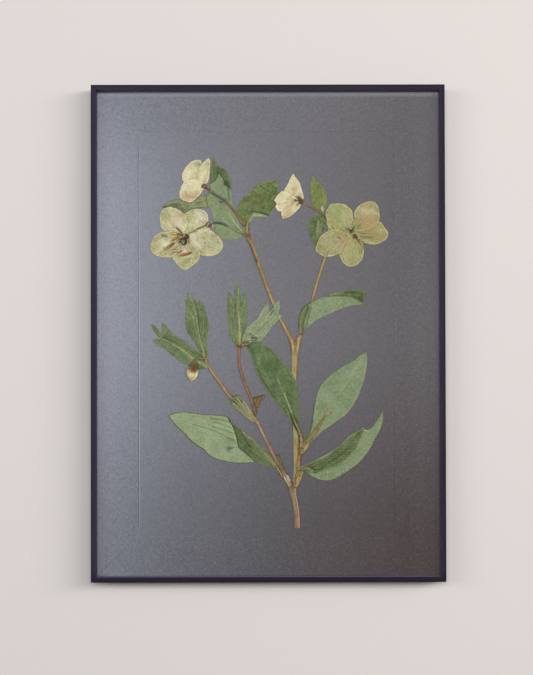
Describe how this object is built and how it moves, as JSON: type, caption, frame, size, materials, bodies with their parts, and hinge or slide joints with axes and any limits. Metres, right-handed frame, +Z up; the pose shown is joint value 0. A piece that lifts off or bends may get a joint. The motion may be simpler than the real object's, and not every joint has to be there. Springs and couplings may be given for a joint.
{
  "type": "pressed flower frame",
  "caption": "Slim black wall frame with glass over a grey mount board that carries a pressed, dried hellebore with its stems, leaves, bracts, a bud and open flowers.",
  "frame": {"origin": "centre of the frame's outer box", "axes": "+Z up along the frame's height, +X to the right seen from the front, +Y into the wall; the glass faces -Y"},
  "size_m": [0.305, 0.022, 0.428],
  "materials": {
    "frame_black": "satin",
    "glass_clear": "polished",
    "board_grey": "matte",
    "backing_brown": "matte",
    "spring_steel": "satin",
    "stem_tan": "matte",
    "stalk_brown": "matte",
    "leaf_green": "matte",
    "leaf_pale": "matte",
    "petal_cream": "matte",
    "petal_green": "matte"
  },
  "bodies": {
    "root": {"backing_board": "backing_brown", "bract_behind": "leaf_green", "bract_blunt": "leaf_pale", "bract_centre": "leaf_green", "bract_dried": "stalk_brown", "bract_left": "leaf_green", "bract_olive": "leaf_green", "bract_pale": "leaf_pale", "bract_sheath": "leaf_pale", "bract_sliver": "leaf_green", "bract_spotted": "leaf_green", "bract_upper_left": "leaf_green", "bract_upright": "leaf_green", "bud": "petal_cream", "clip_left_lower": "spring_steel", "clip_left_upper": "spring_steel", "clip_right_lower": "spring_steel", "clip_right_upper": "spring_steel", "flower_four_heart": "stalk_brown", "flower_four_petal_1": "petal_green", "flower_four_petal_2": "petal_green", "flower_four_petal_3": "petal_green", "flower_four_petal_4": "petal_green", "flower_four_petal_5": "petal_green", "flower_one_petal_1": "petal_cream", "flower_one_petal_2": "petal_cream", "flower_one_petal_3": "petal_cream", "flower_one_stalk": "stalk_brown", "flower_three_petal_1": "petal_cream", "flower_three_petal_2": "petal_cream", "flower_three_petal_3": "petal_cream", "flower_three_stalk": "stalk_brown", "flower_two_heart": "stalk_brown", "flower_two_petal_1": "petal_green", "flower_two_petal_2": "petal_green", "flower_two_petal_3": "petal_green", "flower_two_petal_4": "petal_green", "flower_two_petal_5": "petal_green", "flower_two_stalk": "stalk_brown", "glazing": "glass_clear", "leaf_lower_left": "leaf_green", "leaf_lower_right": "leaf_pale", "leaf_middle": "leaf_green", "leaf_right": "leaf_pale", "leaf_top_left": "leaf_green", "leaf_upper_right": "leaf_pale", "mount_board": "board_grey", "rail_bottom": "frame_black", "rail_left": "frame_black", "rail_right": "frame_black", "rail_top": "frame_black", "sawtooth_hanger": "spring_steel", "stem_left_lower": "stem_tan", "stem_left_upper": "stem_tan", "stem_middle": "stem_tan", "stem_right": "stem_tan", "stem_side": "stalk_brown", "stem_top_left": "stem_tan", "stem_top_right": "stem_tan", "stem_trunk": "stem_tan"}
  },
  "joints": []
}
